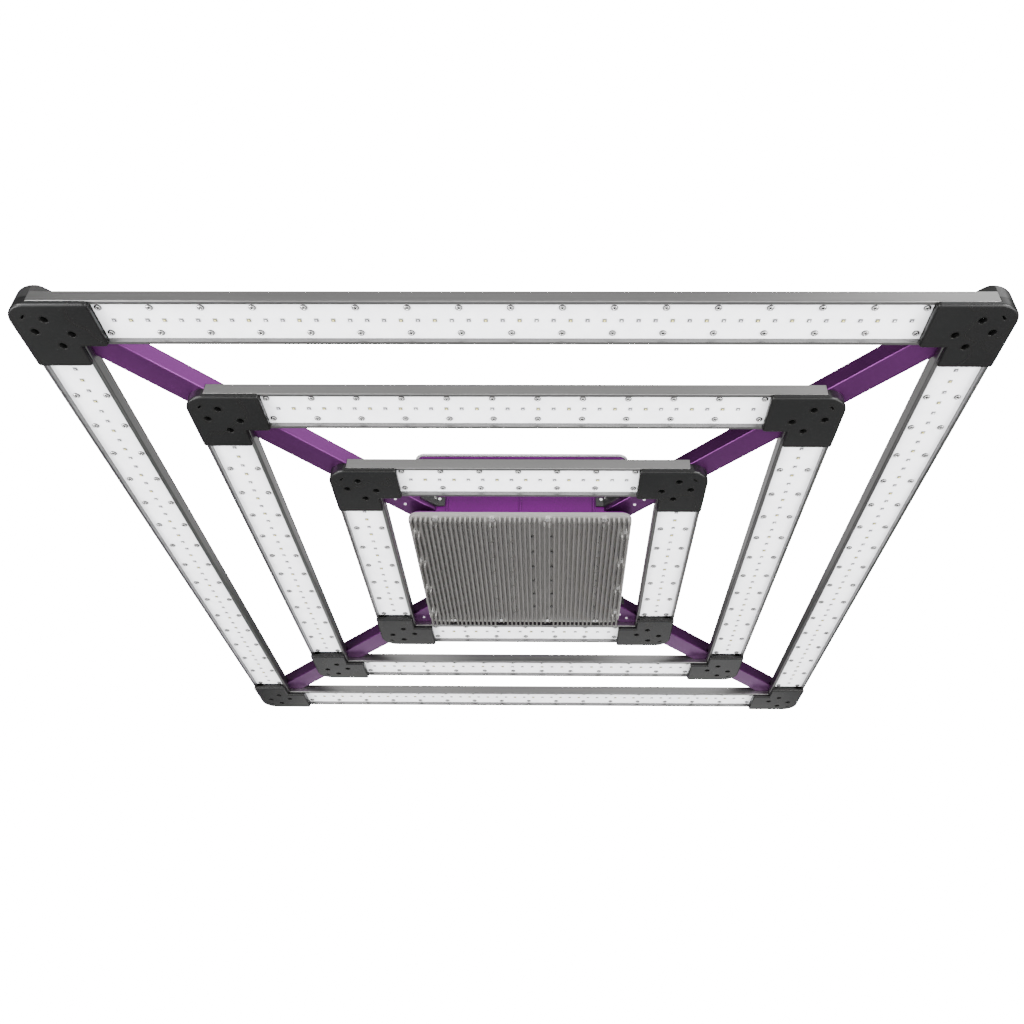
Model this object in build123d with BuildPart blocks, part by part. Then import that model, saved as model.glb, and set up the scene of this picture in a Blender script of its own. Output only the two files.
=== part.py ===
"""LED grow light: three level square rings of LED bars carried by a four-armed driver hub.

+X runs to the right, +Y to the back and +Z up. The origin is the point that the light hangs
from: the middle of the four hanging lugs, level with their holes. Heights below are given
from the underside of the LED bars, and level() turns them into the part's own frame.
"""
import os
from math import sqrt

from build123d import *

os.makedirs("parts", exist_ok=True)

# ---- rings ----
OVERALL = 1118.0          # outside of the outer ring
RING_STEP = 148.5         # from one ring's outer edge to the next
RING_HALVES = {
    "outer": OVERALL / 2,
    "middle": OVERALL / 2 - RING_STEP,
    "inner": OVERALL / 2 - 2 * RING_STEP,
}
LED_COUNTS = {"outer": 48, "middle": 32, "inner": 16}
SCREW_COUNTS = {"outer": 17, "middle": 12, "inner": 7}

# ---- LED bar extrusion ----
BAR_WIDTH = 66.0
BAR_HEIGHT = 16.0
BAR_WALL = 5.0            # side walls, whose lower edges are the lips beside the board
BOARD_Z = 5.8             # light-giving face of the board
BOARD_THICK = 1.6
WEB_THICK = 3.0           # plate of the extrusion that the board is screwed to
RIB_COUNT = 6             # cooling ribs on top of the web
RIB_THICK = 2.0
LIP_EDGE_R = 1.5          # outer edge of each lip
MITRE_GAP = 0.3           # between the bar's mitre and the corner's diagonal

# ---- LED board ----
BOARD_END = 94.0          # end of the board, from the ring's corner
BOARD_GAP = 0.2           # between the board's edge and the side wall
LED_END = 111.5           # first LED, from the ring's corner
LED_SIZE = 5.0
LED_HEIGHT = 1.6
SCREW_END = 100.8         # first board screw, from the ring's corner
SCREW_ROW = 18.8          # screw rows, from the bar's middle

BOARD_SCREW_R = 1.9
BOARD_SCREW_HEAD_R = 4.0
BOARD_SCREW_HEAD = 2.0
BOARD_SCREW_PROUD = 1.0   # tip of the screw above the web

# ---- corner blocks ----
PLATE_THICK = 6.0
PLATE_LEG = 96.0          # leg length, from the ring's corner
PLATE_WIDTH = 64.5
CORNER_R = 27.0           # outer corner, in plan
LEG_R = 4.0               # free corner of a leg
PLATE_EDGE_R = 3.0
TONGUE_GAP = 0.3
TONGUE_END = 92.0         # end of the raised tongue between the lips
BOLT_U = (44.2, 75.4)     # bolts, from the corner along its diagonal
BOLT_V = 12.75            # and to each side of it
BOLT_BORE_R = 4.6
BOLT_BORE_TOP = 3.0       # seat of the bolt's head
BOLT_HOLE_R = 3.2
BOLT_HEAD_R = 4.3
BOLT_HEAD = 4.0
BOLT_SHANK_R = 3.0
BOLT_SOCKET_R = 2.3
BOLT_SOCKET_DEEP = 2.4
BOLT_PROUD = 1.2          # tip of the bolt inside the arm
SLOT_U = 25.9
SLOT_LENGTH = 8.0
SLOT_WIDTH = 2.4

# ---- arms ----
ARM_WIDTH = 37.2
ARM_BOTTOM = 8.4
ARM_TOP = 31.6
ARM_WALL = 2.0
ARM_EDGE_R = 1.2
ARM_FIT = 0.4             # clearance between an arm and the mitred bars
ARM_END = 29.0            # middle of an arm's rounded end cap, from the corner, along X and Y
CAP_WIDTH = 37.8
CAP_TOP = 32.0
CAP_PLUG = 14.0           # length of the plug inside the arm
CAP_NOSE_R = 9.0          # rounding over the top of the nose
RIVET_U = (236.0, 254.0)  # rivets under an arm, from the middle of the hub
RIVET_R = 1.2
RIVET_HEAD_R = 2.0
RIVET_HEAD = 1.1
LOOM_R = 4.0
LOOM_START = 166.0
LOOM_END = 728.0

# ---- heat sink ----
SINK_HALF = 163.5
SINK_R = 16.0
SINK_TOP = -3.8
SINK_BASE = -9.0
FIN_TIP = -19.5
FIN_COUNT = 45
FIN_PITCH = 7.2
FIN_THICK = 2.6
FIN_LENGTH = 316.0
FIN_POCKET_R = 7.5        # room for a screwdriver around each edge screw
SMALL_POCKET_R = 2.6      # and around each driver screw

# ---- hub screws ----
HUB_SCREW_AT = 154.5      # lines of screws, from the middle
HUB_SCREW_STEP = 82.0
HUB_SCREW_R = 2.0
HUB_SCREW_HEAD_R = 4.4
HUB_SCREW_HEAD = 2.4
DRIVER_SCREW_X = (-44.0, -14.4, 18.0, 46.8, 117.0)
DRIVER_SCREW_STEP = 43.0
DRIVER_SCREW_ROWS = 6
DRIVER_SCREW_R = 1.2
DRIVER_SCREW_HEAD_R = 2.2
DRIVER_SCREW_HEAD = 1.6
DRIVER_SCREW_DEEP = 4.0   # thread inside a driver

# ---- hub housing and cover ----
HOUSING_HALF = 150.0
HOUSING_WALL = 2.5
HOUSING_CUT = 26.3        # corner cut off square to each arm
HOUSING_TOP = 101.5
GASKET = 1.5
FLANGE_HALF = 159.5
FLANGE_R = 12.0
FLANGE_THICK = 3.0
SEAM_AT = (-108.0, 0.0, 108.0)
SEAM_WIDTH = 2.4
SEAM_PROUD = 1.0
LOOM_HOLE_R = 5.0
COVER_TOP = 106.0
COVER_HALF = 163.0
COVER_R = 15.5
COVER_EDGE_R = 1.5

# ---- arm brackets ----
BRACKET_FACE_LEG = 12.0   # leg against the hub's side
BRACKET_ARM_LEG = 30.0    # leg against the arm's side
BRACKET_THICK = 3.0
BRACKET_BOTTOM = 15.3
BRACKET_TOP = 30.6
BRACKET_FACE_SCREW = 4.6  # screws, from the bend along each leg
BRACKET_ARM_SCREW = 6.5
BRACKET_SCREW_Z = 26.0
BRACKET_SCREW_R = 1.25
BRACKET_SCREW_HEAD_R = 2.2
BRACKET_SCREW_HEAD = 1.6

# ---- hanging lugs and cable gland ----
LUG_AT = 95.0
LUG_WIDTH = 30.0
LUG_THICK = 6.0
LUG_BASE = (54.0, 26.0, 5.0)
LUG_HOLE_R = 6.0
LUG_HOLE_UP = 24.0        # middle of the hole above the cover
LUG_SCREW_AT = 21.0
GLAND_Y = 118.0
GLAND_BORE_R = 5.0
GLAND_THREAD_R = 10.0
GLAND_HEX_R = 14.5
GLAND_HEX = 8.0
GLAND_DOME_R = 11.5
GLAND_DOME = 16.0
GLAND_NUT = 6.0

# ---- parts inside the hub ----
DRIVER = (262.0, 100.0, 42.0)
DRIVER_Y = 64.5
DRIVER_R = 5.0
DRIVER_RIBS = 9
DRIVER_RIB = (4.0, 3.0)
TERMINAL = (108.0, 20.0, 18.0)
TERMINAL_WAYS = 9
TERMINAL_WAY = (8.0, 14.0, 10.0)

RING_LEVEL = -(COVER_TOP + LUG_HOLE_UP)
HALF_ARM = ARM_WIDTH / 2
ARM_START = (2 * HOUSING_HALF - HOUSING_CUT) / sqrt(2)
ARM_STOP = (OVERALL / 2 - ARM_END) * sqrt(2)
CAP_PLUG_BOTTOM = ARM_BOTTOM + ARM_WALL + 2 * BOLT_PROUD
CAP_NOSE_AT = (OVERALL / 2 - CORNER_R) * sqrt(2)
CAP_LENGTH = CAP_NOSE_AT + CORNER_R - ARM_STOP
WEB_BOTTOM = BOARD_Z + BOARD_THICK
WEB_TOP = WEB_BOTTOM + WEB_THICK


def level(height):
    """Horizontal plane at a height above the underside of the bars."""
    return Plane.XY.offset(RING_LEVEL + height)


def turned(x, y, x_dir, height=0.0):
    """Horizontal plane with its own origin and X direction."""
    return Plane(origin=(x, y, RING_LEVEL + height), x_dir=x_dir, z_dir=(0, 0, 1))


def side_planes(half):
    """The four sides of a square: X runs along the side and Y towards the middle."""
    return {
        "front": turned(0, -half, (1, 0, 0)),
        "right": turned(half, 0, (0, 1, 0)),
        "back": turned(0, half, (-1, 0, 0)),
        "left": turned(-half, 0, (0, -1, 0)),
    }


def corner_planes(half):
    """The four corners of a square: X and Y both run along a side, towards the middle."""
    return {
        "front_left": turned(-half, -half, (1, 0, 0)),
        "front_right": turned(half, -half, (0, 1, 0)),
        "back_right": turned(half, half, (-1, 0, 0)),
        "back_left": turned(-half, half, (0, -1, 0)),
    }


def diagonal_planes():
    """The four arms: X runs from the middle of the hub out along the arm."""
    r = sqrt(0.5)
    return {
        "front_left": turned(0, 0, (-r, -r, 0)),
        "front_right": turned(0, 0, (r, -r, 0)),
        "back_right": turned(0, 0, (r, r, 0)),
        "back_left": turned(0, 0, (-r, r, 0)),
    }


def save(builder, name):
    """Label a finished piece and write it under its own name."""
    builder.part.label = name
    export_step(builder.part, "parts/" + name + ".step")


def spread(count, half):
    """Evenly spaced positions from -half to half."""
    return [-half + 2 * half * i / (count - 1) for i in range(count)]


def screw_points(ring, half):
    """Board screws of one bar, in the plane of its side."""
    xs = spread(SCREW_COUNTS[ring], half - SCREW_END)
    return [(x, BAR_WIDTH / 2 + row) for row in (-SCREW_ROW, SCREW_ROW) for x in xs]


def led_points(ring, half):
    """LEDs of one bar, in the plane of its side."""
    return [(x, BAR_WIDTH / 2) for x in spread(LED_COUNTS[ring], half - LED_END)]


def corner_point(u, v):
    """A point of a corner plane, u along the diagonal and v across it."""
    return ((u + v) * sqrt(0.5), (u - v) * sqrt(0.5))


def on_sides(half, points):
    """Points given in the plane of one side, repeated on all four sides of a ring."""
    found = []
    for plane in side_planes(half).values():
        found += [plane.from_local_coords((x, y, 0)) for x, y in points]
    return [(point.X, point.Y) for point in found]


def square_points(at, alongs):
    """Points on four lines, each at the same distance from the middle."""
    found = []
    for along in alongs:
        found += [(along, -at), (along, at), (-at, along), (at, along)]
    return found


BOLT_POINTS = [corner_point(u, v) for u in BOLT_U for v in (-BOLT_V, BOLT_V)]
HUB_SCREWS = square_points(HUB_SCREW_AT, spread(4, 1.5 * HUB_SCREW_STEP))
DRIVER_ROWS = spread(DRIVER_SCREW_ROWS, (DRIVER_SCREW_ROWS - 1) * DRIVER_SCREW_STEP / 2)
DRIVER_SCREWS = [(x, y) for x in DRIVER_SCREW_X for y in DRIVER_ROWS]
LUG_POINTS = [(x, y) for x in (-LUG_AT, LUG_AT) for y in (-LUG_AT, LUG_AT)]
LUG_SCREWS = [(x + dx, y) for x, y in LUG_POINTS for dx in (-LUG_SCREW_AT, LUG_SCREW_AT)]


# ---- LED bars and boards ----
def bar_outline(reach, start):
    """Mitred outline from a depth of start to the inner edge; reach is its half length at no depth."""
    return [
        (start - reach, start),
        (reach - start, start),
        (reach - BAR_WIDTH, BAR_WIDTH),
        (BAR_WIDTH - reach, BAR_WIDTH),
    ]


def make_bar(ring, side, half, plane):
    """Aluminium extrusion with a web, two side walls and cooling ribs.

    Its ends are mitred beside the arms, but the inner wall runs on under them to the corner.
    """
    section = Plane(origin=plane.origin, x_dir=plane.y_dir, z_dir=plane.x_dir)
    inset = (HALF_ARM + ARM_FIT) * sqrt(2)
    wall = BAR_WIDTH - BAR_WALL
    with BuildPart() as room:
        with BuildSketch(plane):
            Polygon(*bar_outline(half - inset, 0), align=None)
        extrude(amount=BAR_HEIGHT)
        with BuildSketch(plane):
            Polygon(*bar_outline(half - MITRE_GAP, wall), align=None)
        extrude(amount=ARM_BOTTOM - ARM_FIT)
    with BuildPart() as bar:
        with BuildSketch(section) as outline:
            with Locations((BAR_WALL / 2, BAR_HEIGHT / 2), (BAR_WIDTH - BAR_WALL / 2, BAR_HEIGHT / 2)):
                Rectangle(BAR_WALL, BAR_HEIGHT)
            with Locations((BAR_WIDTH / 2, (WEB_BOTTOM + WEB_TOP) / 2)):
                Rectangle(BAR_WIDTH, WEB_THICK)
            with Locations((BAR_WIDTH / 2, (WEB_TOP + BAR_HEIGHT) / 2)):
                with GridLocations((BAR_WIDTH - BAR_WALL) / (RIB_COUNT + 1), 1, RIB_COUNT, 1):
                    Rectangle(RIB_THICK, BAR_HEIGHT - WEB_TOP)
            lips = outline.vertices().group_by(Axis.Y)[0].sort_by(Axis.X)
            fillet([lips[0], lips[-1]], LIP_EDGE_R)
        extrude(amount=half, both=True)
        add(room.part, mode=Mode.INTERSECT)
        with BuildSketch(plane.offset(WEB_BOTTOM)):
            with Locations(*screw_points(ring, half)):
                Circle(BOARD_SCREW_R)
        extrude(amount=WEB_THICK, mode=Mode.SUBTRACT)
    save(bar, "bar_" + ring + "_" + side)


def make_board(ring, side, half, plane):
    """LED board, screwed under the web of its bar."""
    with BuildPart() as board:
        with BuildSketch(plane.offset(BOARD_Z)):
            with Locations((0, BAR_WIDTH / 2)):
                Rectangle(2 * (half - BOARD_END), BAR_WIDTH - 2 * (BAR_WALL + BOARD_GAP))
            with Locations(*screw_points(ring, half)):
                Circle(BOARD_SCREW_R, mode=Mode.SUBTRACT)
        extrude(amount=BOARD_THICK)
    save(board, "board_" + ring + "_" + side)


def make_leds():
    """LED packages soldered in one row under every board."""
    points = []
    for ring, half in RING_HALVES.items():
        points += on_sides(half, led_points(ring, half))
    with BuildPart() as leds:
        with BuildSketch(level(BOARD_Z - LED_HEIGHT)):
            with Locations(*points):
                Rectangle(LED_SIZE, LED_SIZE)
        extrude(amount=LED_HEIGHT)
    save(leds, "leds")


def make_board_screws():
    """Pan-head screws that hold the boards and run through the webs."""
    points = []
    for ring, half in RING_HALVES.items():
        points += on_sides(half, screw_points(ring, half))
    with BuildPart() as screws:
        with BuildSketch(level(BOARD_Z - BOARD_SCREW_HEAD)):
            with Locations(*points):
                Circle(BOARD_SCREW_HEAD_R)
        extrude(amount=BOARD_SCREW_HEAD)
        with BuildSketch(level(BOARD_Z)):
            with Locations(*points):
                Circle(BOARD_SCREW_R)
        extrude(amount=WEB_TOP + BOARD_SCREW_PROUD - BOARD_Z)
    save(screws, "board_screws")


# ---- corner blocks ----
def make_corner(ring, corner, plane):
    """Cast corner block: bottom plate, tongues between the lips and a saddle for the arm."""
    inside = BAR_WALL + TONGUE_GAP
    saddle = BAR_WIDTH - inside
    with BuildPart() as block:
        with BuildSketch(plane.offset(-PLATE_THICK)) as outline:
            with Locations((PLATE_LEG / 2, PLATE_WIDTH / 2)):
                Rectangle(PLATE_LEG, PLATE_WIDTH)
            with Locations((PLATE_WIDTH / 2, PLATE_LEG / 2)):
                Rectangle(PLATE_WIDTH, PLATE_LEG)
            fillet(outline.vertices().sort_by_distance((0, 0))[2:], LEG_R)
            fillet(outline.vertices().sort_by_distance((0, 0))[0], CORNER_R)
        extrude(amount=PLATE_THICK)
        fillet(block.faces().sort_by(Axis.Z)[0].outer_wire().edges(), PLATE_EDGE_R)
        with BuildSketch(plane):
            with Locations(((inside + TONGUE_END) / 2, BAR_WIDTH / 2)):
                Rectangle(TONGUE_END - inside, BAR_WIDTH - 2 * inside)
            with Locations((BAR_WIDTH / 2, (inside + TONGUE_END) / 2)):
                Rectangle(BAR_WIDTH - 2 * inside, TONGUE_END - inside)
            with Locations(((BAR_WIDTH + CORNER_R) / 2, (BAR_WIDTH + CORNER_R) / 2)):
                RectangleRounded(BAR_WIDTH + CORNER_R, BAR_WIDTH + CORNER_R, CORNER_R, mode=Mode.INTERSECT)
        extrude(amount=WEB_BOTTOM)
        with BuildSketch(plane):
            with Locations(Location(corner_point(BAR_WIDTH / 2, 0), 45)):
                Rectangle(2 * BAR_WIDTH, ARM_WIDTH)
            with Locations((saddle / 2, saddle / 2)):
                RectangleRounded(saddle, saddle, CORNER_R, mode=Mode.INTERSECT)
        extrude(amount=ARM_BOTTOM)
        with BuildSketch(plane.offset(-PLATE_THICK)):
            with Locations(*BOLT_POINTS):
                Circle(BOLT_BORE_R)
        extrude(amount=PLATE_THICK + BOLT_BORE_TOP, mode=Mode.SUBTRACT)
        with BuildSketch(plane.offset(-PLATE_THICK)):
            with Locations(*BOLT_POINTS):
                Circle(BOLT_HOLE_R)
            with Locations(Location(corner_point(SLOT_U, 0), -45)):
                SlotOverall(SLOT_LENGTH, SLOT_WIDTH)
        extrude(amount=PLATE_THICK + ARM_BOTTOM, mode=Mode.SUBTRACT)
    save(block, "corner_" + ring + "_" + corner)


def make_corner_bolts():
    """Socket-head bolts that clamp the arms to the corner blocks."""
    points = []
    for half in RING_HALVES.values():
        for plane in corner_planes(half).values():
            points += [plane.from_local_coords((x, y, 0)) for x, y in BOLT_POINTS]
    spots = [(point.X, point.Y) for point in points]
    with BuildPart() as bolts:
        with BuildSketch(level(BOLT_BORE_TOP - BOLT_HEAD)):
            with Locations(*spots):
                Circle(BOLT_HEAD_R)
        extrude(amount=BOLT_HEAD)
        with BuildSketch(level(BOLT_BORE_TOP)):
            with Locations(*spots):
                Circle(BOLT_SHANK_R)
        extrude(amount=ARM_BOTTOM + ARM_WALL + BOLT_PROUD - BOLT_BORE_TOP)
        with BuildSketch(level(BOLT_BORE_TOP - BOLT_HEAD)):
            with Locations(*spots):
                RegularPolygon(BOLT_SOCKET_R, 6)
        extrude(amount=BOLT_SOCKET_DEEP, mode=Mode.SUBTRACT)
    save(bolts, "corner_bolts")


# ---- arms ----
def arm_bolt_spots():
    """Corner bolts along one arm, u from the middle of the hub and v across the arm."""
    found = []
    for half in RING_HALVES.values():
        for u in BOLT_U:
            found += [(half * sqrt(2) - u, -BOLT_V), (half * sqrt(2) - u, BOLT_V)]
    return found


def make_arm(corner, plane):
    """Rectangular steel tube from the hub to the outer corner block."""
    section = Plane(origin=plane.origin, x_dir=plane.y_dir, z_dir=plane.x_dir).offset(ARM_START)
    middle = (ARM_BOTTOM + ARM_TOP) / 2
    height = ARM_TOP - ARM_BOTTOM
    with BuildPart() as arm:
        with BuildSketch(section):
            with Locations((0, middle)):
                RectangleRounded(ARM_WIDTH, height, ARM_EDGE_R)
                Rectangle(ARM_WIDTH - 2 * ARM_WALL, height - 2 * ARM_WALL, mode=Mode.SUBTRACT)
        extrude(amount=ARM_STOP - ARM_START)
        with BuildSketch(plane.offset(ARM_BOTTOM)):
            with Locations(*arm_bolt_spots()):
                Circle(BOLT_SHANK_R)
            with Locations(*[(u, 0) for u in RIVET_U]):
                Circle(RIVET_R)
        extrude(amount=ARM_WALL, mode=Mode.SUBTRACT)
        for side in (-1, 1):
            face = Plane(origin=plane.origin, x_dir=plane.x_dir, z_dir=plane.y_dir).offset(side * HALF_ARM)
            with BuildSketch(face):
                with Locations((ARM_START + BRACKET_ARM_SCREW, -BRACKET_SCREW_Z)):
                    Circle(BRACKET_SCREW_R)
            extrude(amount=-side * ARM_WALL, mode=Mode.SUBTRACT)
    save(arm, "arm_" + corner)


def make_arm_caps():
    """Moulded round-nosed caps that close the outer ends of the arms."""
    with BuildPart() as caps:
        for plane in diagonal_planes().values():
            with BuildSketch(plane.offset(ARM_BOTTOM)):
                with Locations((CAP_NOSE_AT, 0)):
                    Circle(CORNER_R)
                with Locations((ARM_STOP + CAP_LENGTH / 2, 0)):
                    Rectangle(CAP_LENGTH, CAP_WIDTH, mode=Mode.INTERSECT)
            extrude(amount=CAP_TOP - ARM_BOTTOM)
            with BuildSketch(plane.offset(CAP_PLUG_BOTTOM)):
                with Locations((ARM_STOP - CAP_PLUG / 2, 0)):
                    Rectangle(CAP_PLUG, ARM_WIDTH - 2 * ARM_WALL)
            extrude(amount=ARM_TOP - ARM_WALL - CAP_PLUG_BOTTOM)
        tops = caps.edges().group_by(Axis.Z)[-1]
        fillet(tops.filter_by(GeomType.CIRCLE), CAP_NOSE_R)
    save(caps, "arm_caps")


def make_arm_rivets():
    """Blind rivets under the inner ends of the arms."""
    with BuildPart() as rivets:
        for plane in diagonal_planes().values():
            with BuildSketch(plane.offset(ARM_BOTTOM - RIVET_HEAD)):
                with Locations(*[(u, 0) for u in RIVET_U]):
                    Circle(RIVET_HEAD_R)
            extrude(amount=RIVET_HEAD)
            with BuildSketch(plane.offset(ARM_BOTTOM)):
                with Locations(*[(u, 0) for u in RIVET_U]):
                    Circle(RIVET_R)
            extrude(amount=ARM_WALL)
    save(rivets, "arm_rivets")


def make_arm_looms():
    """Cable looms that run from the drivers along the inside of the arms."""
    with BuildPart() as looms:
        for plane in diagonal_planes().values():
            section = Plane(origin=plane.origin, x_dir=plane.y_dir, z_dir=plane.x_dir).offset(LOOM_START)
            with BuildSketch(section):
                with Locations((0, ARM_BOTTOM + ARM_WALL + LOOM_R)):
                    Circle(LOOM_R)
            extrude(amount=LOOM_END - LOOM_START)
    save(looms, "arm_looms")


# ---- arm brackets ----
def bracket_legs(hand):
    """Places of a bracket's two legs beside an arm: middle, direction and length of each."""
    turn = sqrt(0.5)
    half = BRACKET_THICK / 2
    face = BRACKET_FACE_LEG / 2
    face_u = ARM_START + turn * (half - face)
    face_v = HALF_ARM + turn * (half + face)
    arm_u = ARM_START + BRACKET_ARM_LEG / 2
    return [
        (Location((face_u, hand * face_v), hand * 135), BRACKET_FACE_LEG),
        (Location((arm_u, hand * (HALF_ARM + half)), 0), BRACKET_ARM_LEG),
    ]


def bracket_screw_planes(plane):
    """Planes on the outside of both legs of an arm's two brackets, at their screws."""
    found = []
    turn = sqrt(0.5)
    for hand in (-1, 1):
        face_u = ARM_START + turn * (BRACKET_THICK - BRACKET_FACE_SCREW)
        face_v = hand * (HALF_ARM + turn * (BRACKET_THICK + BRACKET_FACE_SCREW))
        out = plane.x_dir * turn + plane.y_dir * (hand * turn)
        spot = plane.from_local_coords((face_u, face_v, BRACKET_SCREW_Z))
        found.append(Plane(origin=spot, x_dir=(0, 0, 1), z_dir=out))
        side = hand * (HALF_ARM + BRACKET_THICK)
        spot = plane.from_local_coords((ARM_START + BRACKET_ARM_SCREW, side, BRACKET_SCREW_Z))
        found.append(Plane(origin=spot, x_dir=(0, 0, 1), z_dir=plane.y_dir * hand))
    return found


def make_brackets():
    """Bent black brackets, one to each side of every arm, that tie it to the hub."""
    with BuildPart() as brackets:
        for plane in diagonal_planes().values():
            for hand in (-1, 1):
                with BuildSketch(plane.offset(BRACKET_BOTTOM)):
                    for place, length in bracket_legs(hand):
                        with Locations(place):
                            Rectangle(length, BRACKET_THICK)
                extrude(amount=BRACKET_TOP - BRACKET_BOTTOM)
            for spot in bracket_screw_planes(plane):
                with BuildSketch(spot):
                    Circle(BRACKET_SCREW_R)
                extrude(amount=-BRACKET_THICK, mode=Mode.SUBTRACT)
    save(brackets, "hub_brackets")


def make_bracket_screws():
    """Screws through both legs of every bracket."""
    with BuildPart() as screws:
        for plane in diagonal_planes().values():
            for spot in bracket_screw_planes(plane):
                with BuildSketch(spot):
                    Circle(BRACKET_SCREW_HEAD_R)
                extrude(amount=BRACKET_SCREW_HEAD)
                with BuildSketch(spot):
                    Circle(BRACKET_SCREW_R)
                extrude(amount=-BRACKET_THICK - ARM_WALL)
    save(screws, "bracket_screws")


# ---- heat sink ----
def make_heat_sink():
    """Finned aluminium plate under the hub, with a pocket around every screw."""
    with BuildPart() as sink:
        with BuildSketch(level(SINK_BASE)):
            RectangleRounded(2 * SINK_HALF, 2 * SINK_HALF, SINK_R)
        extrude(amount=SINK_TOP - SINK_BASE)
        with BuildSketch(level(FIN_TIP)):
            with GridLocations(FIN_PITCH, 1, FIN_COUNT, 1):
                Rectangle(FIN_THICK, FIN_LENGTH)
            with Locations(*HUB_SCREWS):
                Circle(FIN_POCKET_R, mode=Mode.SUBTRACT)
            with Locations(*DRIVER_SCREWS):
                Circle(SMALL_POCKET_R, mode=Mode.SUBTRACT)
        extrude(amount=SINK_BASE - FIN_TIP)
        with BuildSketch(level(SINK_BASE)):
            with Locations(*HUB_SCREWS):
                Circle(HUB_SCREW_R)
            with Locations(*DRIVER_SCREWS):
                Circle(DRIVER_SCREW_R)
        extrude(amount=SINK_TOP - SINK_BASE, mode=Mode.SUBTRACT)
    save(sink, "heat_sink")


def make_sink_screws():
    """Screws that hold the heat sink under the housing."""
    with BuildPart() as screws:
        with BuildSketch(level(SINK_BASE - HUB_SCREW_HEAD)):
            with Locations(*HUB_SCREWS):
                Circle(HUB_SCREW_HEAD_R)
        extrude(amount=HUB_SCREW_HEAD)
        with BuildSketch(level(SINK_BASE)):
            with Locations(*HUB_SCREWS):
                Circle(HUB_SCREW_R)
        extrude(amount=SINK_TOP + GASKET + FLANGE_THICK - SINK_BASE)
    save(screws, "sink_screws")


def make_driver_screws():
    """Small screws in the fin field that hold the drivers on the heat sink."""
    with BuildPart() as screws:
        with BuildSketch(level(SINK_BASE - DRIVER_SCREW_HEAD)):
            with Locations(*DRIVER_SCREWS):
                Circle(DRIVER_SCREW_HEAD_R)
        extrude(amount=DRIVER_SCREW_HEAD)
        with BuildSketch(level(SINK_BASE)):
            with Locations(*DRIVER_SCREWS):
                Circle(DRIVER_SCREW_R)
        extrude(amount=SINK_TOP + DRIVER_SCREW_DEEP - SINK_BASE)
    save(screws, "driver_screws")


# ---- hub housing and cover ----
def ring_of_flange():
    """Outline of a flange with its screw holes, open in the middle."""
    RectangleRounded(2 * FLANGE_HALF, 2 * FLANGE_HALF, FLANGE_R)
    Rectangle(2 * (HOUSING_HALF - HOUSING_WALL), 2 * (HOUSING_HALF - HOUSING_WALL), mode=Mode.SUBTRACT)
    with Locations(*HUB_SCREWS):
        Circle(HUB_SCREW_R, mode=Mode.SUBTRACT)


def octagon(half, cut):
    """Corners of a square with its corners cut off."""
    flat = half - cut
    return [
        (-flat, -half),
        (flat, -half),
        (half, -flat),
        (half, flat),
        (flat, half),
        (-flat, half),
        (-half, flat),
        (-half, -flat),
    ]


def make_housing():
    """Folded steel housing: octagonal wall between a bottom flange and a top flange."""
    foot = SINK_TOP + GASKET
    hole = LOOM_R + ARM_BOTTOM + ARM_WALL
    corner_reach = HOUSING_CUT - HOUSING_WALL * (2 - sqrt(2))
    with BuildPart() as housing:
        with BuildSketch(level(foot)):
            Polygon(*octagon(HOUSING_HALF, HOUSING_CUT), align=None)
        extrude(amount=HOUSING_TOP - foot)
        for height in (foot, HOUSING_TOP - FLANGE_THICK):
            with BuildSketch(level(height)):
                RectangleRounded(2 * FLANGE_HALF, 2 * FLANGE_HALF, FLANGE_R)
                with Locations(*HUB_SCREWS):
                    Circle(HUB_SCREW_R, mode=Mode.SUBTRACT)
            extrude(amount=FLANGE_THICK)
        with BuildSketch(level(foot)):
            Polygon(*octagon(HOUSING_HALF - HOUSING_WALL, corner_reach), align=None)
        extrude(amount=HOUSING_TOP - foot, mode=Mode.SUBTRACT)
        with BuildSketch(level(foot + FLANGE_THICK)):
            with Locations(*square_points(HOUSING_HALF + SEAM_PROUD / 2, SEAM_AT)):
                Rectangle(SEAM_WIDTH, SEAM_WIDTH)
            Rectangle(2 * HOUSING_HALF, 2 * HOUSING_HALF, mode=Mode.SUBTRACT)
        extrude(amount=HOUSING_TOP - foot - 2 * FLANGE_THICK)
        for plane in diagonal_planes().values():
            section = Plane(origin=plane.origin, x_dir=plane.y_dir, z_dir=plane.x_dir).offset(ARM_START)
            with BuildSketch(section):
                with Locations((0, hole)):
                    Circle(LOOM_HOLE_R)
            extrude(amount=-2 * HOUSING_WALL, mode=Mode.SUBTRACT)
            for spot in bracket_screw_planes(plane):
                with BuildSketch(spot):
                    Circle(BRACKET_SCREW_R)
                extrude(amount=-BRACKET_THICK - HOUSING_WALL, mode=Mode.SUBTRACT)
    save(housing, "hub_housing")


def make_gaskets():
    """Rubber gaskets under and over the housing."""
    with BuildPart() as gaskets:
        for height in (SINK_TOP, HOUSING_TOP):
            with BuildSketch(level(height)):
                ring_of_flange()
            extrude(amount=GASKET)
    save(gaskets, "hub_gaskets")


def make_cover():
    """Flat top cover that overhangs the housing's upper flange."""
    under = HOUSING_TOP + GASKET
    with BuildPart() as cover:
        with BuildSketch(level(under)):
            RectangleRounded(2 * COVER_HALF, 2 * COVER_HALF, COVER_R)
            with Locations(*HUB_SCREWS, *LUG_SCREWS):
                Circle(HUB_SCREW_R, mode=Mode.SUBTRACT)
            with Locations((0, GLAND_Y)):
                Circle(GLAND_THREAD_R, mode=Mode.SUBTRACT)
        extrude(amount=COVER_TOP - under)
        fillet(cover.faces().sort_by(Axis.Z)[-1].outer_wire().edges(), COVER_EDGE_R)
    save(cover, "top_cover")


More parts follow.
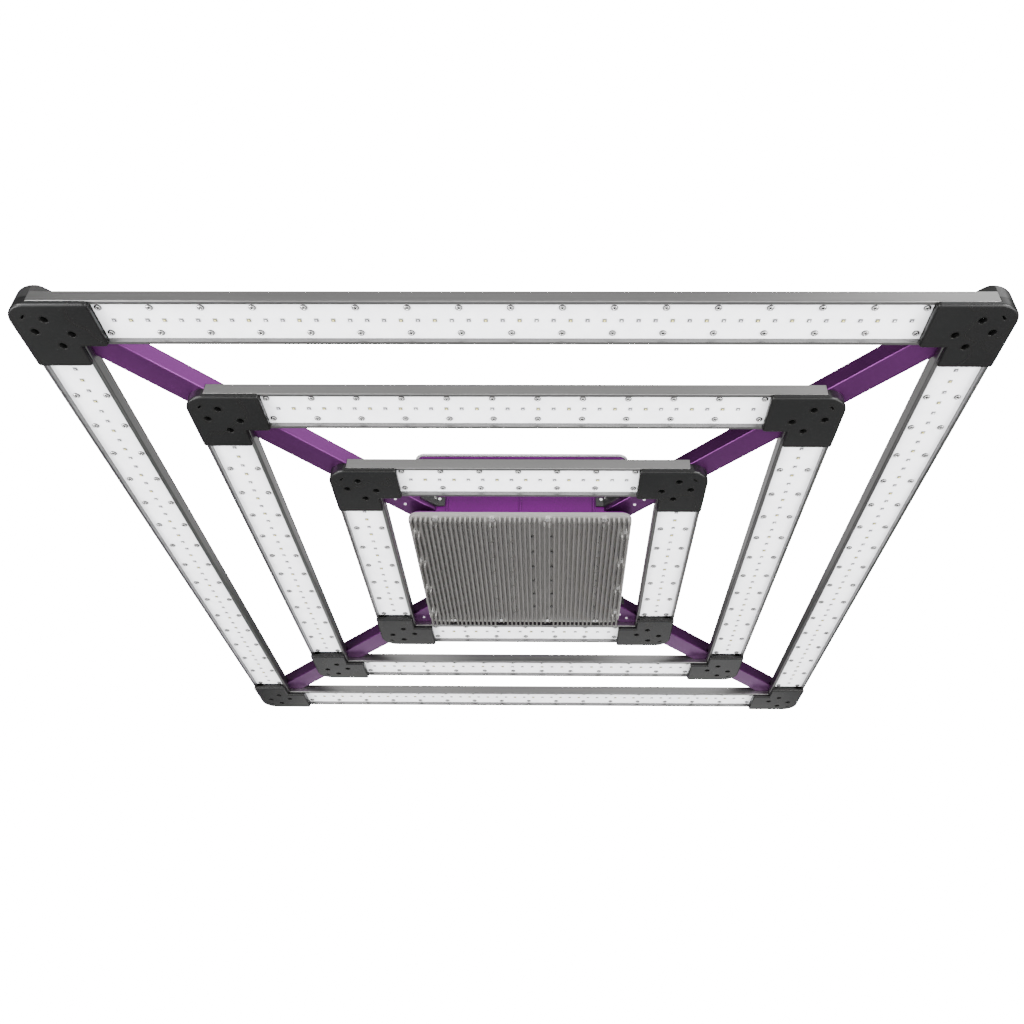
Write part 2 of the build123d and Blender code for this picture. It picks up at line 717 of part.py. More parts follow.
def make_cover_screws():
    """Screws that hold the cover on the housing and the lugs on the cover."""
    with BuildPart() as screws:
        for points, head in ((HUB_SCREWS, COVER_TOP), (LUG_SCREWS, COVER_TOP + LUG_BASE[2])):
            with BuildSketch(level(head)):
                with Locations(*points):
                    Circle(HUB_SCREW_HEAD_R)
            extrude(amount=HUB_SCREW_HEAD)
            with BuildSketch(level(HOUSING_TOP - FLANGE_THICK)):
                with Locations(*points):
                    Circle(HUB_SCREW_R)
            extrude(amount=head - HOUSING_TOP + FLANGE_THICK)
    save(screws, "cover_screws")


# ---- hanging lugs and cable gland ----
def make_lugs():
    """Four lugs on the cover, each an upright eye on a screwed base."""
    with BuildPart() as lugs:
        with BuildSketch(level(COVER_TOP)):
            with Locations(*LUG_POINTS):
                RectangleRounded(LUG_BASE[0], LUG_BASE[1], 4)
        extrude(amount=LUG_BASE[2])
        for x, y in LUG_POINTS:
            upright = Plane(origin=(x, y + LUG_THICK / 2, 0), x_dir=(1, 0, 0), z_dir=(0, -1, 0))
            with BuildSketch(upright):
                Circle(LUG_WIDTH / 2)
                with Locations((0, (LUG_BASE[2] - LUG_HOLE_UP) / 2)):
                    Rectangle(LUG_WIDTH, LUG_HOLE_UP - LUG_BASE[2])
                Circle(LUG_HOLE_R, mode=Mode.SUBTRACT)
            extrude(amount=LUG_THICK)
        with BuildSketch(level(COVER_TOP)):
            with Locations(*LUG_SCREWS):
                Circle(HUB_SCREW_R)
        extrude(amount=LUG_BASE[2], mode=Mode.SUBTRACT)
    save(lugs, "hanging_lugs")


def make_gland():
    """Cable gland in the cover: hexagon and dome outside, thread and lock nut inside."""
    under = HOUSING_TOP + GASKET
    with BuildPart() as gland:
        with BuildSketch(level(under - GLAND_NUT)):
            with Locations((0, GLAND_Y)):
                RegularPolygon(GLAND_HEX_R, 6)
        extrude(amount=GLAND_NUT)
        with BuildSketch(level(under)):
            with Locations((0, GLAND_Y)):
                Circle(GLAND_THREAD_R)
        extrude(amount=COVER_TOP - under)
        with BuildSketch(level(COVER_TOP)):
            with Locations((0, GLAND_Y)):
                RegularPolygon(GLAND_HEX_R, 6)
        extrude(amount=GLAND_HEX)
        with BuildSketch(level(COVER_TOP + GLAND_HEX)):
            with Locations((0, GLAND_Y)):
                Circle(GLAND_DOME_R)
        extrude(amount=GLAND_DOME)
        fillet(gland.faces().sort_by(Axis.Z)[-1].edges(), 3)
        with BuildSketch(level(under - GLAND_NUT)):
            with Locations((0, GLAND_Y)):
                Circle(GLAND_BORE_R)
        extrude(amount=GLAND_NUT + COVER_TOP - under + GLAND_HEX + GLAND_DOME, mode=Mode.SUBTRACT)
    save(gland, "cable_gland")


# ---- parts inside the hub ----
def make_drivers():
    """Two sealed LED drivers with ribbed tops."""
    with BuildPart() as drivers:
        with BuildSketch(level(SINK_TOP)):
            with Locations((0, -DRIVER_Y), (0, DRIVER_Y)):
                RectangleRounded(DRIVER[0], DRIVER[1], DRIVER_R)
        extrude(amount=DRIVER[2])
        with BuildSketch(level(SINK_TOP + DRIVER[2])):
            with Locations((0, -DRIVER_Y), (0, DRIVER_Y)):
                with GridLocations(1, DRIVER[1] / DRIVER_RIBS, 1, DRIVER_RIBS):
                    Rectangle(DRIVER[0] - 4 * DRIVER_R, DRIVER_RIB[0])
        extrude(amount=DRIVER_RIB[1])
        with BuildSketch(level(SINK_TOP)):
            with Locations(*DRIVER_SCREWS):
                Circle(DRIVER_SCREW_R)
        extrude(amount=DRIVER_SCREW_DEEP, mode=Mode.SUBTRACT)
    save(drivers, "drivers")


def make_terminal():
    """Terminal block between the drivers, open above each way."""
    with BuildPart() as block:
        with BuildSketch(level(SINK_TOP)):
            Rectangle(TERMINAL[0], TERMINAL[1])
        extrude(amount=TERMINAL[2])
        with BuildSketch(level(SINK_TOP + TERMINAL[2])):
            with GridLocations(TERMINAL[0] / TERMINAL_WAYS, 1, TERMINAL_WAYS, 1):
                Rectangle(TERMINAL_WAY[0], TERMINAL_WAY[1])
        extrude(amount=-TERMINAL_WAY[2], mode=Mode.SUBTRACT)
    save(block, "terminal_block")


# ---- build everything ----
for ring_name, ring_half in RING_HALVES.items():
    for side_name, side_plane in side_planes(ring_half).items():
        make_bar(ring_name, side_name, ring_half, side_plane)
        make_board(ring_name, side_name, ring_half, side_plane)
    for corner_name, corner_plane in corner_planes(ring_half).items():
        make_corner(ring_name, corner_name, corner_plane)
for corner_name, arm_plane in diagonal_planes().items():
    make_arm(corner_name, arm_plane)
make_leds()
make_board_screws()
make_corner_bolts()
make_arm_caps()
make_arm_rivets()
make_arm_looms()
make_brackets()
make_bracket_screws()
make_heat_sink()
make_sink_screws()
make_driver_screws()
make_housing()
make_gaskets()
make_cover()
make_cover_screws()
make_lugs()
make_gland()
make_drivers()
make_terminal()
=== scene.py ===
"""Looks of the LED grow light: materials, LEDs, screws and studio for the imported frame."""

import math
import random

import bmesh
import bpy
from mathutils import Matrix, Vector


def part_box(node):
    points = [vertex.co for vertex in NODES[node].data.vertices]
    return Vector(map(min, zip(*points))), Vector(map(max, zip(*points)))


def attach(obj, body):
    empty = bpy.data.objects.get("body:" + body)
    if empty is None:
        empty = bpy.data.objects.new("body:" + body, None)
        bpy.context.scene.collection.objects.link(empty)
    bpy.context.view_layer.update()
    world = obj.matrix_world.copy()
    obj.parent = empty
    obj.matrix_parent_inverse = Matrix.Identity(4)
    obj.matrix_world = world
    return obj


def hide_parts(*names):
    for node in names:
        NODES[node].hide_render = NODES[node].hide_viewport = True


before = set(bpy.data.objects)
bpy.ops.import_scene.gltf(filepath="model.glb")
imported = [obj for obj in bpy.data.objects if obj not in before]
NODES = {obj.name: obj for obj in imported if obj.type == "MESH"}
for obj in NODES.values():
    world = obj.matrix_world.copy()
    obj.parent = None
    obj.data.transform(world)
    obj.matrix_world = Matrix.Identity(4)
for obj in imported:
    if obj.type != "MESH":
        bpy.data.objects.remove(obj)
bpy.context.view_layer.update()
MM = 0.001

# ---- what the frame says ----
RINGS = ("outer", "middle", "inner")
SIDES = ("front", "right", "back", "left")
CORNERS = ("front_left", "front_right", "back_right", "back_left")
BOARD_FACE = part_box("board_outer_front")[0].z
RING_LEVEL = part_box("bar_outer_front")[0].z

# ---- details ----
LEDS = {"outer": 48, "middle": 32, "inner": 16}
SCREWS = {"outer": 17, "middle": 12, "inner": 7}
LED_COLOURS = ("clear", "yellow", "clear", "yellow", "bright")
LED_END = 17.5 * MM       # first LED, from the end of its board
SCREW_END = 6.8 * MM      # first screw, from the end of its board
SCREW_ROW = 18.8 * MM
SCREW_R = 4.0 * MM
SCREW_HIGH = 2.0 * MM
LED_HALF = 2.5 * MM
LED_HIGH = 1.6 * MM
STRIP = 16                # LEDs on one strip
SINK_TIP = 0.8 * MM       # depth where the fins' dull tips end, and where the painted light between the fins starts
# depth where the painted light between the fins is full
SINK_DEEP = 6.0 * MM
BAR_TONE = 0.13
# Painted light: the lighter metal deep between the sink's fins stands in for light reaching the gaps.
PAINTED_FIN_GAP_LIGHT = (0.20, 0.194, 0.186, 1.0)
TRACK_WHITE = (0.70, 0.70, 0.74, 1.0)
RECESS_REACH = 0.5        # of the screw's radius: nothing beyond this belongs to the sunk cross, which is painted dark as shade
RECESS_SUNK = 0.7         # of the head's height: a vertex above this level is in the sunk cross
RIM_FROM = 0.85           # of the screw's radius: the head's outer edge, coloured dark as painted shade
RANDOM = random.Random(7)

# ---- view and surroundings ----
BACKDROP = 20.0           # surroundings as the camera sees them
WORLD_LIGHT = 0.15        # surroundings as a light
FLOOR_DROP = 3.2          # floor, below the rings
FLOOR_HALF = 12.0
CAMERA_TURN = (-0.73, 35.46, 0.60)    # yaw, pitch and roll, in degrees
CAMERA_AT = (0.04527, -1.21236)
CAMERA_DROP = 0.73602                 # camera, below the rings
CAMERA_LENS = 31.02
CAMERA_SENSOR = 36.0
CAMERA_SHIFT = (-0.0291, -0.0079)
CAMERA_CLIP = (0.05, 60.0)


# ---- node helpers ----
class Shader:
    """A material's node tree, with short names for the nodes used here."""

    def __init__(self, name):
        self.material = bpy.data.materials.new(name)
        self.material.use_nodes = True
        self.tree = self.material.node_tree
        self.bsdf = self.tree.nodes["Principled BSDF"]

    def set(self, **values):
        for key, value in values.items():
            self.bsdf.inputs[key.replace("_", " ")].default_value = value

    def add(self, kind, **inputs):
        node = self.tree.nodes.new(kind)
        for key, value in inputs.items():
            self.put(node.inputs[key.replace("_", " ")], value)
        return node

    def put(self, socket, value):
        if isinstance(value, bpy.types.NodeSocket):
            self.tree.links.new(value, socket)
        else:
            socket.default_value = value

    def place(self):
        return self.tree.nodes.new("ShaderNodeTexCoord").outputs["Object"]

    def stretch(self, vector, scale):
        node = self.tree.nodes.new("ShaderNodeMapping")
        self.put(node.inputs["Vector"], vector)
        node.inputs["Scale"].default_value = scale
        return node.outputs["Vector"]

    def noise(self, vector, scale, detail=3.0, roughness=0.55):
        node = self.add("ShaderNodeTexNoise", Vector=vector, Scale=scale, Detail=detail, Roughness=roughness)
        return node.outputs["Fac"]

    def ramp(self, factor, *stops):
        node = self.tree.nodes.new("ShaderNodeValToRGB")
        self.put(node.inputs["Fac"], factor)
        points = node.color_ramp.elements
        for index, (at, colour) in enumerate(stops):
            point = points[index] if index < 2 else points.new(at)
            point.position = at
            point.color = (*colour, 1.0)
        return node.outputs["Color"]

    def span(self, factor, low, high, start=0.3, stop=0.7):
        node = self.tree.nodes.new("ShaderNodeMapRange")
        self.put(node.inputs["Value"], factor)
        node.inputs["From Min"].default_value = start
        node.inputs["From Max"].default_value = stop
        node.inputs["To Min"].default_value = low
        node.inputs["To Max"].default_value = high
        return node.outputs["Result"]

    def math(self, operation, a, b=0.0):
        node = self.tree.nodes.new("ShaderNodeMath")
        node.operation = operation
        self.put(node.inputs[0], a)
        self.put(node.inputs[1], b)
        return node.outputs[0]

    def mix(self, factor, a, b):
        node = self.tree.nodes.new("ShaderNodeMix")
        node.data_type = "RGBA"
        self.put(node.inputs["Factor"], factor)
        self.put(node.inputs["A"], a)
        self.put(node.inputs["B"], b)
        return node.outputs["Result"]

    def bump(self, height, strength, distance):
        node = self.add("ShaderNodeBump", Height=height, Strength=strength, Distance=distance)
        self.tree.links.new(node.outputs["Normal"], self.bsdf.inputs["Normal"])

    def round_edges(self, radius, height, strength, distance):
        """Softens sharp edges in the shading, under the surface's own bump."""
        bevel = self.tree.nodes.new("ShaderNodeBevel")
        bevel.samples = 4
        bevel.inputs["Radius"].default_value = radius
        bump = self.add("ShaderNodeBump", Height=height, Strength=strength, Distance=distance)
        self.tree.links.new(bevel.outputs["Normal"], bump.inputs["Normal"])
        self.tree.links.new(bump.outputs["Normal"], self.bsdf.inputs["Normal"])

    def colour(self, socket):
        self.tree.links.new(socket, self.bsdf.inputs["Base Color"])

    def rough(self, socket):
        self.tree.links.new(socket, self.bsdf.inputs["Roughness"])


def grey(value, warm=0.0):
    return (value * (1 + warm), value, value * (1 - warm))


# ---- materials ----
def anodised(name, along, tone):
    """Grey anodised extrusion: faint die lines along the bar and soft tone changes."""
    s = Shader(name)
    s.set(Metallic=1.0)
    where = s.place()
    thin = [900.0, 900.0, 900.0]
    thin[along] = 6.0
    lines = s.noise(s.stretch(where, thin), 1.0, 4.0, 0.6)
    broad = s.noise(s.stretch(where, (3.0, 3.0, 12.0)), 1.0, 2.0)
    low, high = grey(tone * 0.86, 0.01), grey(tone * 1.12, 0.01)
    base = s.ramp(s.math("ADD", s.math("MULTIPLY", lines, 0.45), s.math("MULTIPLY", broad, 0.55)),
                  (0.35, low), (0.68, high))
    s.colour(base)
    s.rough(s.span(lines, 0.28, 0.4))
    s.round_edges(0.6 * MM, lines, 0.12, 0.05 * MM)
    return s.material


def painted(name, dark, light, grain=0.2, roughness=(0.32, 0.46), metal=0.0, radius=1.0 * MM,
            shine=0.4):
    """Powder paint: fine orange peel, slight tone drift and a soft sheen."""
    s = Shader(name)
    s.set(Metallic=metal, Specular_IOR_Level=shine)
    where = s.place()
    peel = s.noise(where, 1100.0, 2.0)
    drift = s.noise(where, 5.0, 3.0)
    s.colour(s.ramp(s.math("ADD", s.math("MULTIPLY", peel, 0.3), s.math("MULTIPLY", drift, 0.7)),
                    (0.36, dark), (0.66, light)))
    s.rough(s.span(drift, *roughness))
    s.round_edges(radius, peel, grain, 0.1 * MM)
    return s.material


def board_white():
    """White solder resist: faint copper tracks along the board and a silky gloss."""
    s = Shader("board_white")
    s.set(Roughness=0.42, Specular_IOR_Level=0.4)
    where = s.place()
    mottle = s.noise(where, 60.0, 4.0)
    tracks = s.noise(s.stretch(where, (55.0, 55.0, 1.0)), 1.0, 0.0)
    ridge = s.math("ABSOLUTE", s.math("SUBTRACT", tracks, 0.5))
    edge = s.span(ridge, 1.0, 0.0, 0.0, 0.012)
    clean = s.ramp(mottle, (0.3, (0.79, 0.79, 0.82)), (0.7, (0.86, 0.86, 0.885)))
    s.colour(s.mix(s.math("MULTIPLY", edge, 0.35), clean, TRACK_WHITE))
    s.rough(s.span(mottle, 0.36, 0.5))
    s.bump(tracks, 0.06, 0.3 * MM)
    return s.material


def machined(name, tone, metal=1.0, roughness=(0.18, 0.34), fine=1500.0, shine=0.5):
    """Plated or bare metal of a small part."""
    s = Shader(name)
    s.set(Metallic=metal, Specular_IOR_Level=shine)
    where = s.place()
    grain = s.noise(where, fine, 3.0)
    soft = s.noise(where, 120.0, 2.0)
    s.colour(s.ramp(soft, (0.3, grey(tone * 0.85)), (0.7, grey(tone * 1.08))))
    s.rough(s.span(grain, *roughness))
    s.bump(grain, 0.08, 0.05 * MM)
    return s.material


def sink_metal():
    """Extruded heat sink: die lines along the fins, and painted light that makes the metal lighter deeper
    between them.
    """
    s = Shader("sink_metal")
    s.set(Metallic=0.5)
    where = s.place()
    lines = s.noise(s.stretch(where, (1400.0, 7.0, 1400.0)), 1.0, 4.0)
    broad = s.noise(where, 9.0, 3.0)
    tips = s.ramp(s.math("ADD", s.math("MULTIPLY", lines, 0.5), s.math("MULTIPLY", broad, 0.5)),
                  (0.34, (0.060, 0.057, 0.054)), (0.66, (0.085, 0.081, 0.077)))
    axes = s.add("ShaderNodeSeparateXYZ", Vector=where)
    tip = (NODES["heat_sink"].matrix_world.inverted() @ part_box("heat_sink")[0]).z
    # Painted light: the metal grows lighter further in between the fins, away from the dull tips.
    depth = s.span(axes.outputs["Z"], 0.0, 1.0, tip + SINK_TIP, tip + SINK_DEEP)
    s.colour(s.mix(depth, tips, PAINTED_FIN_GAP_LIGHT))
    s.rough(s.span(lines, 0.36, 0.52))
    s.round_edges(0.4 * MM, lines, 0.15, 0.05 * MM)
    return s.material


def plastic(name, dark, light, roughness=(0.38, 0.55), fine=700.0, shine=0.5):
    """Moulded plastic or rubber with a fine spark-eroded grain."""
    s = Shader(name)
    s.set(Specular_IOR_Level=shine)
    where = s.place()
    grain = s.noise(where, fine, 3.0)
    drift = s.noise(where, 18.0, 2.0)
    s.colour(s.ramp(drift, (0.35, dark), (0.65, light)))
    s.rough(s.span(grain, *roughness))
    s.bump(grain, 0.15, 0.08 * MM)
    return s.material


def phosphor(name, rim, heart):
    """LED window: phosphor seen through clear silicone, darker towards the cup's edge."""
    s = Shader(name)
    s.set(Roughness=0.12, Coat_Weight=0.25, Coat_Roughness=0.05)
    where = s.place()
    grain = s.noise(where, 2600.0, 3.0)
    s.colour(s.ramp(grain, (0.3, rim), (0.7, heart)))
    s.rough(s.span(grain, 0.1, 0.22))
    s.bump(grain, 0.1, 0.04 * MM)
    return s.material


def assign(material, *names):
    """Gives CAD nodes a material in all their slots."""
    for name in names:
        slots = NODES[name].data.materials
        for index in range(len(slots)):
            slots[index] = material
        if not len(slots):
            slots.append(material)


# ---- mesh helpers ----
def piece(name, mesh, material_slot, *materials):
    """A new piece in the frame, riding on the only body."""
    thing = bpy.data.objects.new(name, mesh)
    bpy.context.scene.collection.objects.link(thing)
    for material in materials:
        mesh.materials.append(material)
    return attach(thing, "root")


def rings_of(bm, outline, material=0, close_last=True):
    """Joins rows of vertices with quads, and caps the last row."""
    rows = [[bm.verts.new(point) for point in row] for row in outline]
    for lower, upper in zip(rows, rows[1:]):
        count = len(lower)
        for i in range(count):
            face = bm.faces.new((lower[i], lower[(i + 1) % count], upper[(i + 1) % count], upper[i]))
            face.material_index = material
            face.smooth = True
    if close_last:
        bm.faces.new(rows[-1]).material_index = material


def circle(radius, height, count):
    """One ring of points, clockwise from above so that stacked rings face down and out."""
    angles = [2 * math.pi * i / count for i in range(count)]
    return [(radius * math.cos(a), -radius * math.sin(a), height) for a in angles]


def square(half, height, count):
    """Points round a square, at the same angles as circle()."""
    points = []
    for x, y, _ in circle(1.0, 0.0, count):
        reach = half / max(abs(x), abs(y))
        points.append((x * reach, y * reach, height))
    return points


def screw_shape():
    """Pan head seen from below: a dome with a cross sunk into its flat top; the sunk cross and the head's
    outer edge are painted dark as shade.
    """
    count = 32
    flat = [(1.0, 0.0), (1.0, 0.35), (0.96, 0.64), (0.86, 0.84), (0.70, 0.96), (0.52, 1.0)]
    rows = [circle(r * SCREW_R, -z * SCREW_HIGH, count) for r, z in flat]
    for radius, land, floor in ((0.46, 1.0, 0.62), (0.24, 1.0, 0.5), (0.15, 0.48, 0.42)):
        row = circle(radius * SCREW_R, 0.0, count)
        deep = [(i + 1) % (count // 4) < 3 for i in range(count)]
        rows.append([(x, y, -(floor if low else land) * SCREW_HIGH) for (x, y, _), low in zip(row, deep)])
    bm = bmesh.new()
    rings_of(bm, rows)
    # Painted shade: the sunk cross and the head's outer edge take the dark second material, standing in for
    # the shade that falls there.
    for face in bm.faces:
        sunk = [v.co.z > -RECESS_SUNK * SCREW_HIGH for v in face.verts]
        inner = all(math.hypot(v.co.x, v.co.y) < RECESS_REACH * SCREW_R for v in face.verts)
        rim = all(math.hypot(v.co.x, v.co.y) > RIM_FROM * SCREW_R for v in face.verts)
        if rim or inner and any(sunk):
            face.material_index = 1
            face.smooth = False
    bm.faces.ensure_lookup_table()
    # Painted shade: the face at the bottom of the cross is dark too.
    bm.faces[-1].material_index = 1
    return finished(bm, "screw_shape")


def led_shape(window, die):
    """LED package seen from below: chamfered body, round window and the die under its dome."""
    count = 16
    half = LED_HALF
    high = LED_HIGH
    rows = [
        square(half, 0.0, count),
        square(half, -0.38 * high, count),
        square(half * 0.97, -0.46 * high, count),
        circle(half * 0.95, -0.46 * high, count),
        circle(half * 0.92, -0.40 * high, count),
    ]
    bm = bmesh.new()
    rings_of(bm, rows, 0, False)
    for face in bm.faces:
        face.smooth = False
    dome = [(0.92, 0.40), (0.84, 0.64), (0.66, 0.84), (0.48, 0.93), (0.2, 0.975)]
    before = len(bm.faces)
    rings_of(bm, [circle(half * r, -high * z, count) for r, z in dome], window)
    bm.faces.ensure_lookup_table()
    for face in bm.faces[before + count * 3:]:
        face.material_index = die
    return finished(bm, "led_shape")


def finished(bm, name):
    """Merges shared points, updates the normals and returns the mesh."""
    bmesh.ops.remove_doubles(bm, verts=bm.verts, dist=1e-7)
    bm.normal_update()
    mesh = bpy.data.meshes.new(name)
    bm.to_mesh(mesh)
    bm.free()
    return mesh


def scattered(name, shapes, places):
    """One mesh with a copy of a shape at every place: (shape index, position, turn)."""
    bm = bmesh.new()
    for index, position, turn in places:
        before = len(bm.verts)
        bm.from_mesh(shapes[index])
        bm.verts.ensure_lookup_table()
        move = Matrix.Translation(position) @ Matrix.Rotation(turn, 4, "Z")
        bmesh.ops.transform(bm, matrix=move, verts=bm.verts[before:])
    mesh = bpy.data.meshes.new(name)
    bm.to_mesh(mesh)
    bm.free()
    return mesh


def along_board(node, count, end, row=0.0):
    """Evenly spaced places along a board's face, end from its short edges and row from its middle."""
    low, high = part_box(node)
    middle = (low + high) / 2
    axis = 0 if high.x - low.x > high.y - low.y else 1
    start, stop = low[axis] + end, high[axis] - end
    places = []
    for i in range(count):
        point = Vector((middle.x, middle.y, BOARD_FACE))
        point[axis] = start + (stop - start) * i / (count - 1)
        point[1 - axis] += row
        places.append(point)
    return places


# ---- pieces ----
def add_screws(steel, screw_shade):
    """Board screws, each turned its own way."""
    shape = screw_shape()
    places = []
    for ring in RINGS:
        for side in SIDES:
            for row in (-SCREW_ROW, SCREW_ROW):
                for point in along_board(f"board_{ring}_{side}", SCREWS[ring], SCREW_END, row):
                    places.append((0, point, RANDOM.uniform(0, math.pi)))
    screws = piece("board_screw_heads", scattered("board_screw_heads", [shape], places), "screw_steel",
                   steel, screw_shade)
    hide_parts("board_screws")


def add_leds(body, yellow, clear, bright, die_yellow, die_clear):
    """LED packages with their domes, in the colour order of each strip of sixteen."""
    shapes = [led_shape(2, 4), led_shape(1, 5), led_shape(2, 3)]
    kinds = {"clear": 0, "yellow": 1, "bright": 2}
    places = []
    for ring in RINGS:
        for side in SIDES:
            spots = along_board(f"board_{ring}_{side}", LEDS[ring], LED_END)
            for i, point in enumerate(spots):
                kind = LED_COLOURS[i % STRIP % len(LED_COLOURS)]
                places.append((kinds[kind], point, RANDOM.choice((0, 1)) * math.pi))
    leds = piece("led_packages", scattered("led_packages", shapes, places), "led_phosphor",
                 body, yellow, clear, bright, die_clear, die_yellow)
    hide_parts("leds")


# ---- studio ----
def area_light(name, place, target, size, power):
    """Soft rectangular lamp aimed at a point."""
    data = bpy.data.lights.new(name, "AREA")
    data.shape = "RECTANGLE"
    data.size, data.size_y = size
    data.energy = power
    lamp = bpy.data.objects.new(name, data)
    bpy.context.scene.collection.objects.link(lamp)
    lamp.location = place
    lamp.visible_camera = False
    aim = Vector(target) - Vector(place)
    lamp.rotation_mode = "QUATERNION"
    lamp.rotation_quaternion = aim.to_track_quat("-Z", "Y")


def add_world(backdrop, light):
    """White surroundings for the camera, and a dimmer even light on the object."""
    world = bpy.data.worlds.new("studio")
    world.use_nodes = True
    tree = world.node_tree
    background = tree.nodes["Background"]
    background.inputs["Color"].default_value = (1.0, 1.0, 1.0, 1.0)
    ray = tree.nodes.new("ShaderNodeLightPath")
    strength = tree.nodes.new("ShaderNodeMapRange")
    strength.inputs["To Min"].default_value = light
    strength.inputs["To Max"].default_value = backdrop
    tree.links.new(ray.outputs["Is Camera Ray"], strength.inputs["Value"])
    tree.links.new(strength.outputs["Result"], background.inputs["Strength"])
    bpy.context.scene.world = world


def add_floor(height):
    """Pale floor far below the hanging light."""
    bm = bmesh.new()
    bmesh.ops.create_grid(bm, x_segments=8, y_segments=8, size=FLOOR_HALF)
    mesh = bpy.data.meshes.new("floor")
    bm.to_mesh(mesh)
    bm.free()
    floor = bpy.data.objects.new("floor", mesh)
    bpy.context.scene.collection.objects.link(floor)
    floor.location.z = height
    s = Shader("floor_pale")
    mottle = s.noise(s.place(), 2.0, 3.0)
    s.colour(s.ramp(mottle, (0.3, (0.82, 0.82, 0.82)), (0.7, (0.86, 0.86, 0.86))))
    s.rough(s.span(mottle, 0.6, 0.75))
    mesh.materials.append(s.material)


def add_camera():
    """Low camera in front of the light, looking up at it."""
    yaw, pitch, roll = (math.radians(angle) for angle in CAMERA_TURN)
    ahead = Vector((math.sin(yaw) * math.cos(pitch), math.cos(yaw) * math.cos(pitch), math.sin(pitch)))
    level_right = Vector((math.cos(yaw), -math.sin(yaw), 0.0))
    level_up = level_right.cross(ahead)
    right = level_right * math.cos(roll) + level_up * math.sin(roll)
    up = level_up * math.cos(roll) - level_right * math.sin(roll)
    data = bpy.data.cameras.new("camera")
    data.sensor_width = CAMERA_SENSOR
    data.lens = CAMERA_LENS
    data.shift_x, data.shift_y = CAMERA_SHIFT
    data.clip_start, data.clip_end = CAMERA_CLIP
    camera = bpy.data.objects.new("camera", data)
    bpy.context.scene.collection.objects.link(camera)
    turn = Matrix((right, up, -ahead)).transposed().to_4x4()
    camera.matrix_world = Matrix.Translation((*CAMERA_AT, RING_LEVEL - CAMERA_DROP)) @ turn
    bpy.context.scene.camera = camera


# ---- dress the frame ----
steel = machined("screw_steel", 0.66, 1.0, (0.12, 0.24))
# Painted shade: near-black dull steel for the screws' sunk cross and outer edge.
screw_shade = machined("screw_painted_shade", 0.02, 0.3, (0.4, 0.55))
driver_screw = machined("driver_screw", 0.11, 0.6, (0.35, 0.5))
# Black bolt heads with near-zero tone and sheen: partly their own black, partly painted shade for the deep
# holes they sit in.
bolt_and_hole_shade = machined("bolt_black", 0.001, 0.0, (0.5, 0.65), 1500.0, 0.05)
rivet = machined("rivet_grey", 0.75, 0.6, (0.25, 0.4))
corner_black = painted("corner_black", grey(0.0035), grey(0.0055), 0.1, (0.24, 0.34), 0.0, 1.2 * MM, 0.14)
purple_arm = painted("arm_purple", (0.078, 0.017, 0.087), (0.098, 0.021, 0.109),
                     0.1, (0.28, 0.38), 0.9, 0.8 * MM, 0.35)
purple_housing = painted("housing_purple", (0.054, 0.0004, 0.062), (0.072, 0.0006, 0.083),
                         0.15, (0.28, 0.4), 0.0, 1.0 * MM, 0.12)
silver_cover = painted("cover_silver", grey(0.70), grey(0.80), 0.1, (0.3, 0.4), 0.3, 0.6 * MM)
bracket_black = painted("bracket_black", grey(0.008), grey(0.013), 0.25, (0.4, 0.52))
cap_black = plastic("cap_black", grey(0.007), grey(0.011), (0.3, 0.42), 700.0, 0.25)
gasket_black = plastic("gasket_rubber", grey(0.015), grey(0.022), (0.6, 0.75))
gland_black = plastic("gland_nylon", grey(0.02), grey(0.03))
loom_black = plastic("loom_black", grey(0.015), grey(0.025), (0.5, 0.65))
terminal_grey = plastic("terminal_grey", grey(0.35), grey(0.45))
driver_metal = machined("driver_case", 0.5, 0.8, (0.35, 0.5), 500.0)
lug_steel = machined("lug_steel", 0.55, 1.0, (0.25, 0.4), 400.0)

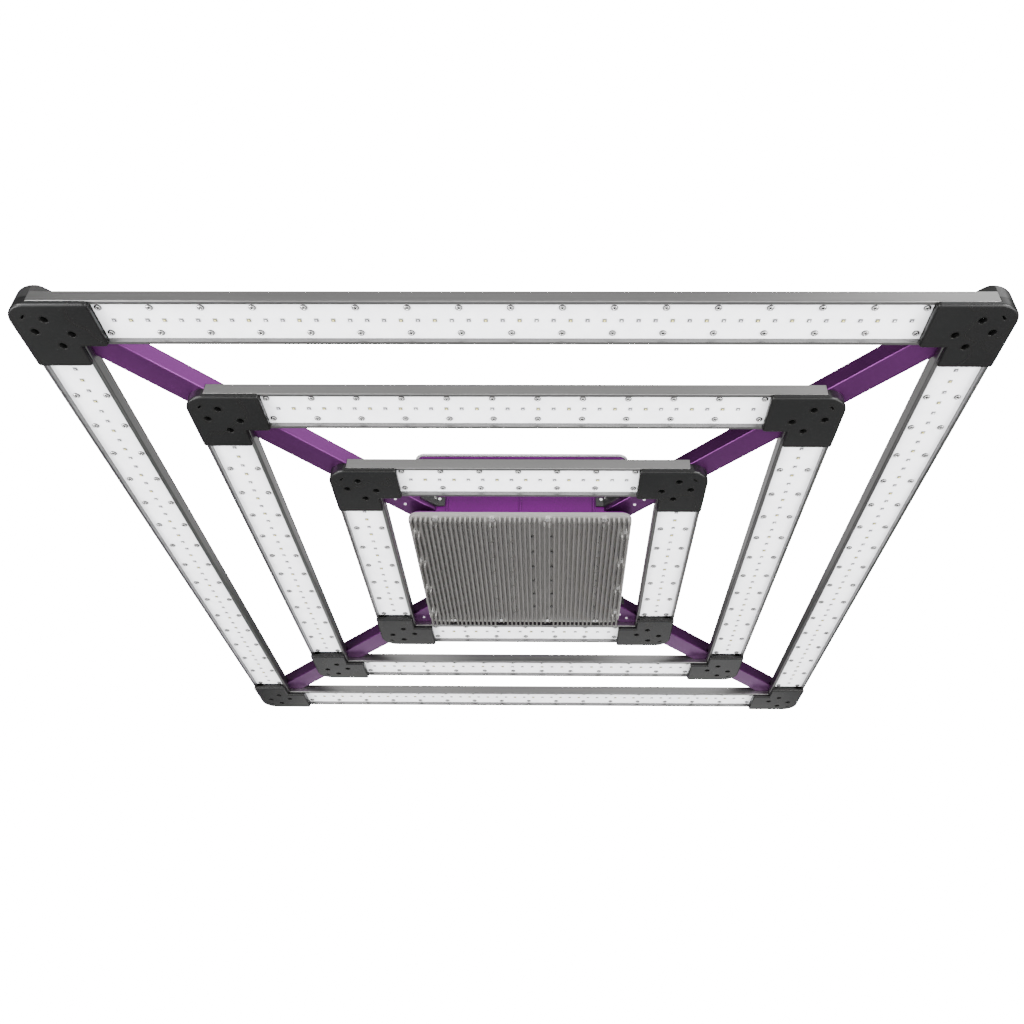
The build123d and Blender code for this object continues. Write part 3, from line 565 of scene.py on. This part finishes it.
assign(anodised("anodised_across", 0, BAR_TONE), *[f"bar_{r}_{s}" for r in RINGS for s in ("front", "back")])
assign(anodised("anodised_deep", 1, BAR_TONE), *[f"bar_{r}_{s}" for r in RINGS for s in ("left", "right")])
assign(board_white(), *[f"board_{r}_{s}" for r in RINGS for s in SIDES])
assign(corner_black, *[f"corner_{r}_{c}" for r in RINGS for c in CORNERS])
assign(purple_arm, *[f"arm_{c}" for c in CORNERS])
assign(bolt_and_hole_shade, "corner_bolts")
assign(cap_black, "arm_caps")
assign(rivet, "arm_rivets")
assign(loom_black, "arm_looms")
assign(bracket_black, "hub_brackets")
assign(steel, "bracket_screws", "sink_screws", "cover_screws")
assign(driver_screw, "driver_screws")
assign(sink_metal(), "heat_sink")
assign(purple_housing, "hub_housing")
assign(gasket_black, "hub_gaskets")
assign(silver_cover, "top_cover")
assign(lug_steel, "hanging_lugs")
assign(gland_black, "cable_gland")
assign(driver_metal, "drivers")
assign(terminal_grey, "terminal_block")

add_screws(steel, screw_shade)
add_leds(
    plastic("led_body", grey(0.13), grey(0.19), (0.3, 0.4), 1800.0),
    phosphor("led_yellow", (0.06, 0.056, 0.025), (0.09, 0.085, 0.04)),
    phosphor("led_clear", (0.035, 0.033, 0.04), (0.055, 0.052, 0.06)),
    phosphor("led_bright", grey(0.78), grey(0.88)),
    phosphor("die_yellow", (0.56, 0.50, 0.17), (0.68, 0.61, 0.24)),
    phosphor("die_clear", (0.42, 0.41, 0.44), (0.55, 0.54, 0.57)),
)

add_world(BACKDROP, WORLD_LIGHT)
add_floor(RING_LEVEL - FLOOR_DROP)
add_camera()
middle = (0.0, 0.0, RING_LEVEL)
area_light("front", (0.2, -3.3, RING_LEVEL - 2.7), middle, (1.8, 1.8), 110.0)
area_light("front_left", (-2.4, -2.4, RING_LEVEL - 2.6), middle, (1.8, 1.8), 120.0)
area_light("front_right", (2.4, -2.4, RING_LEVEL - 2.6), middle, (1.8, 1.8), 115.0)
area_light("side_left", (-3.3, -0.5, RING_LEVEL - 2.5), middle, (1.8, 1.8), 240.0)
area_light("side_right", (3.3, -0.5, RING_LEVEL - 2.5), middle, (1.8, 1.8), 200.0)
area_light("level_right", (2.7, -2.7, RING_LEVEL - 0.7), middle, (1.6, 1.6), 400.0)
area_light("level_left", (-2.7, -2.7, RING_LEVEL - 0.7), middle, (1.6, 1.6), 330.0)
area_light("high_front", (0.0, -3.0, 1.5), middle, (4.5, 1.7), 70.0)
area_light("high_right", (2.3, -1.8, 2.4), middle, (2.4, 2.0), 60.0)
area_light("low_back", (0.0, 3.75, RING_LEVEL - 1.35), middle, (3.0, 1.2), 20.0)
area_light("high_back", (0.0, 2.2, 2.3), middle, (4.5, 2.0), 30.0)
